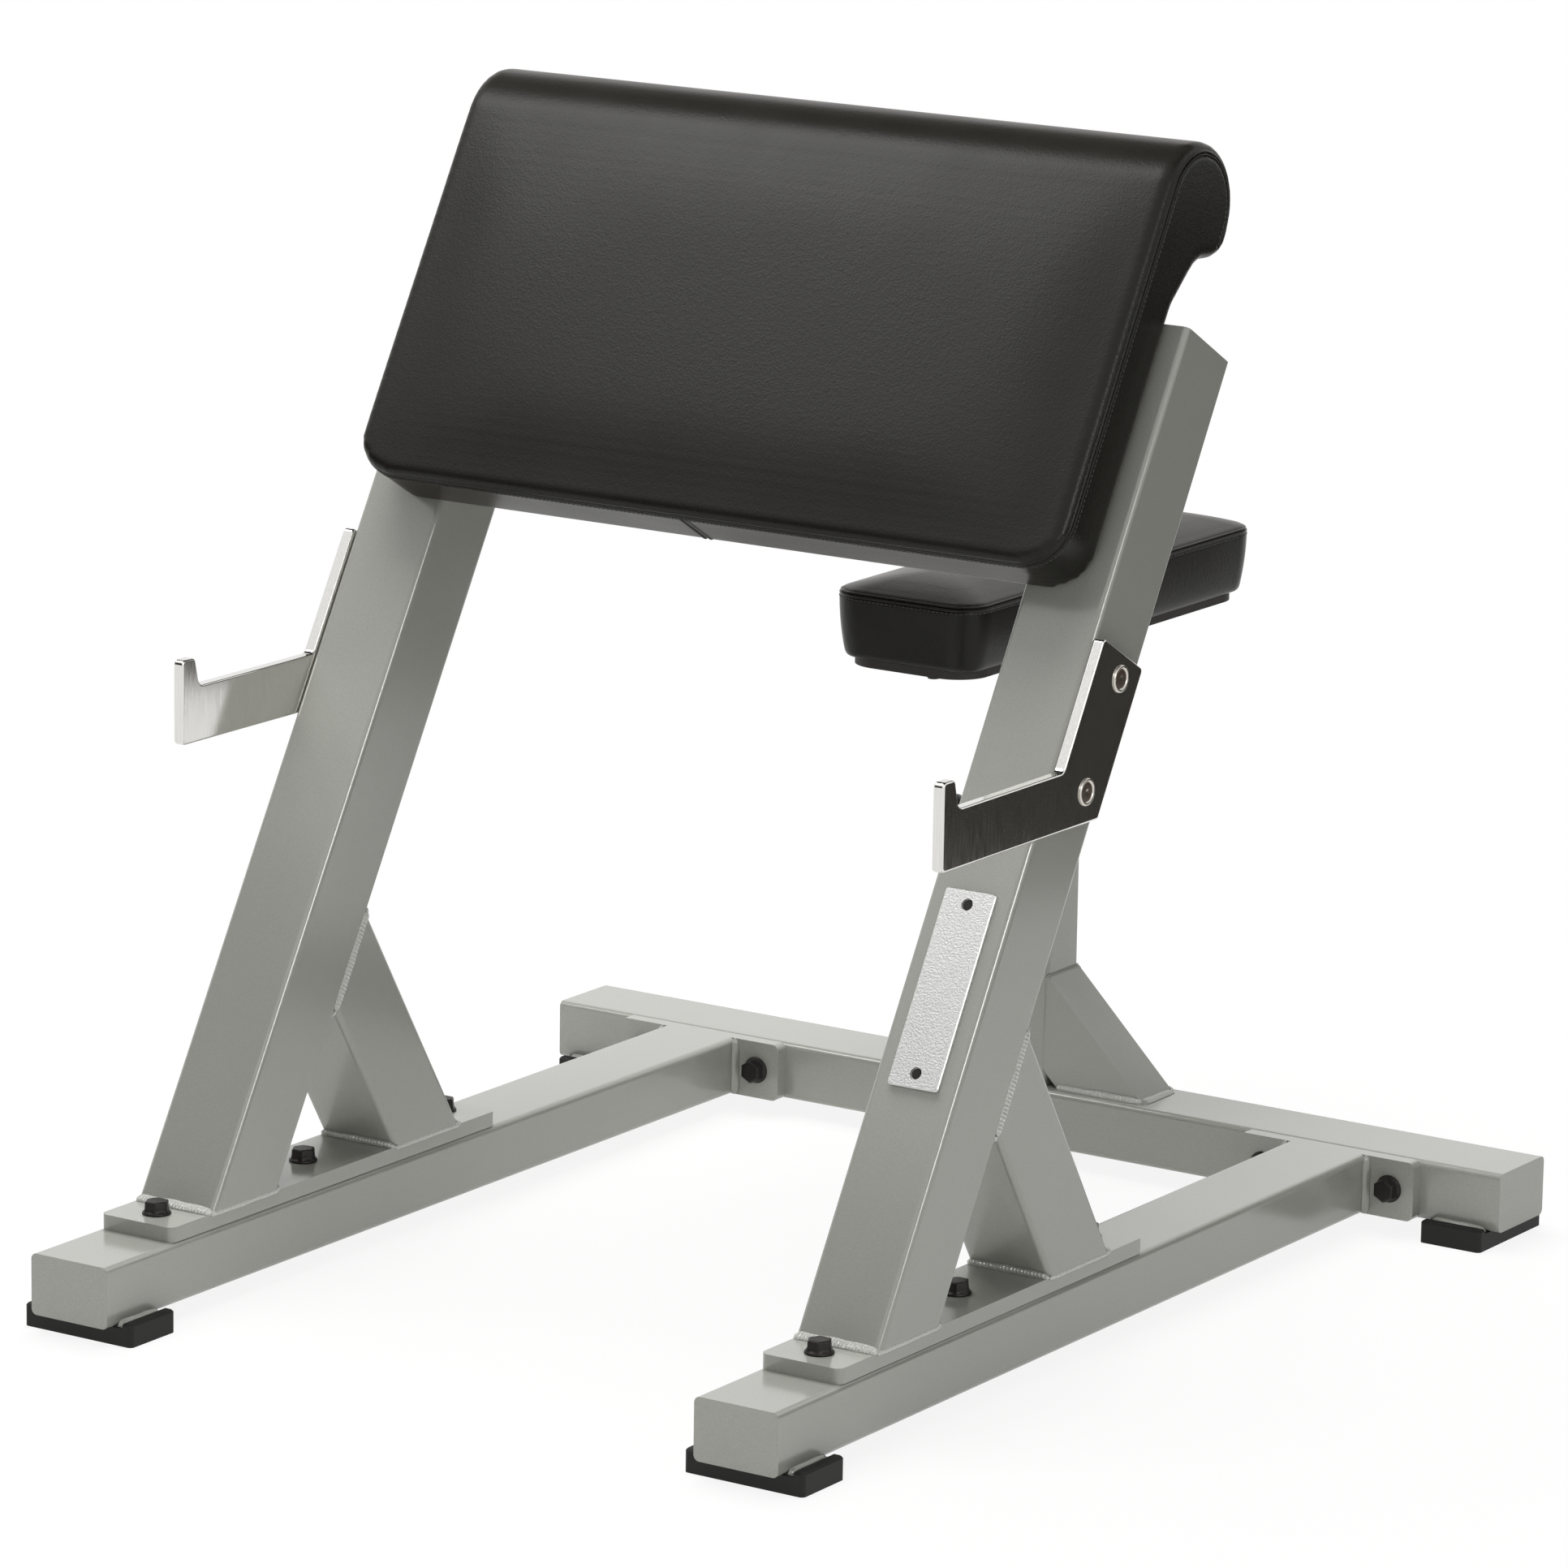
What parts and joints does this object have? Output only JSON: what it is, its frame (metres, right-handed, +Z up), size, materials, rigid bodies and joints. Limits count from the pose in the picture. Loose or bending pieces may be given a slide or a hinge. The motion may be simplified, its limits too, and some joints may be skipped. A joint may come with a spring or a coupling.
{
  "type": "preacher curl bench",
  "caption": "Preacher curl bench with a sloping rolled-top arm pad on leaning tube uprights, plated bar hooks, booted base legs and a narrow seat on a height-adjustable post.",
  "frame": {"origin": "on the floor, under the middle of the bench's box", "axes": "+Z up; -Y is the side of the bar hooks and the arm pad's face; +Y is the side of the seat; X runs across the bench"},
  "size_m": [0.954, 1.1738, 0.9482],
  "materials": {
    "frame_paint": "silver-grey powder coat, satin",
    "boot_rubber": "matt moulded rubber",
    "hook_plating": "satin nickel plate",
    "vinyl": "black grained upholstery vinyl",
    "plywood": "black stained plywood",
    "black_bolts": "black oxide",
    "zinc_steel": "zinc plate",
    "cast_aluminium": "brushed casting",
    "post_plating": "bright chrome plate",
    "bush_nylon": "black nylon",
    "knob_plastic": "black moulded plastic"
  },
  "bodies": {
    "frame": {"arm_pad": "vinyl", "arm_pad_board": "plywood", "badge_plate": "cast_aluminium", "badge_screws": "black_bolts", "base_bolts": "black_bolts", "base_weld_nuts": "zinc_steel", "flange_bolts": "black_bolts", "flange_nuts": "black_bolts", "hook_bolts": "zinc_steel", "hook_weld_nuts": "zinc_steel", "left_bar_hook": "hook_plating", "left_base_plate": "frame_paint", "left_beam_cap": "frame_paint", "left_brace": "frame_paint", "left_front_boot": "boot_rubber", "left_front_foot_plate": "frame_paint", "left_leg_cap": "frame_paint", "left_leg_flange": "frame_paint", "left_leg_tube": "frame_paint", "left_post_gusset": "frame_paint", "left_rear_boot": "boot_rubber", "left_rear_foot_plate": "frame_paint", "left_upright": "frame_paint", "left_upright_cap": "frame_paint", "pad_bolts": "black_bolts", "pad_cross_tube": "frame_paint", "pad_tee_nuts": "zinc_steel", "pin_barrel": "zinc_steel", "pin_spring": "zinc_steel", "rear_beam": "frame_paint", "right_bar_hook": "hook_plating", "right_base_plate": "frame_paint", "right_beam_cap": "frame_paint", "right_brace": "frame_paint", "right_front_boot": "boot_rubber", "right_front_foot_plate": "frame_paint", "right_leg_cap": "frame_paint", "right_leg_flange": "frame_paint", "right_leg_tube": "frame_paint", "right_post_gusset": "frame_paint", "right_rear_boot": "boot_rubber", "right_rear_foot_plate": "frame_paint", "right_upright": "frame_paint", "right_upright_cap": "frame_paint", "seat_sleeve": "frame_paint", "sleeve_bush": "bush_nylon"},
    "seat_carriage": {"seat_post": "post_plating", "seat_bar": "frame_paint", "seat_board": "plywood", "seat_cushion": "vinyl", "seat_bolts": "black_bolts"},
    "pull_pin": {"pin_plunger": "zinc_steel", "pin_knob": "knob_plastic"}
  },
  "joints": [
    {"name": "seat_height", "type": "slide", "parent": "frame", "child": "seat_carriage", "axis": [0, 0, 1], "range_m": [-0.0762, 0.0381]},
    {"name": "pull_pin_slide", "type": "slide", "parent": "frame", "child": "pull_pin", "axis": [1, 0, 0], "range_m": [0, 0.01], "deforming": ["pin_spring"]}
  ]
}
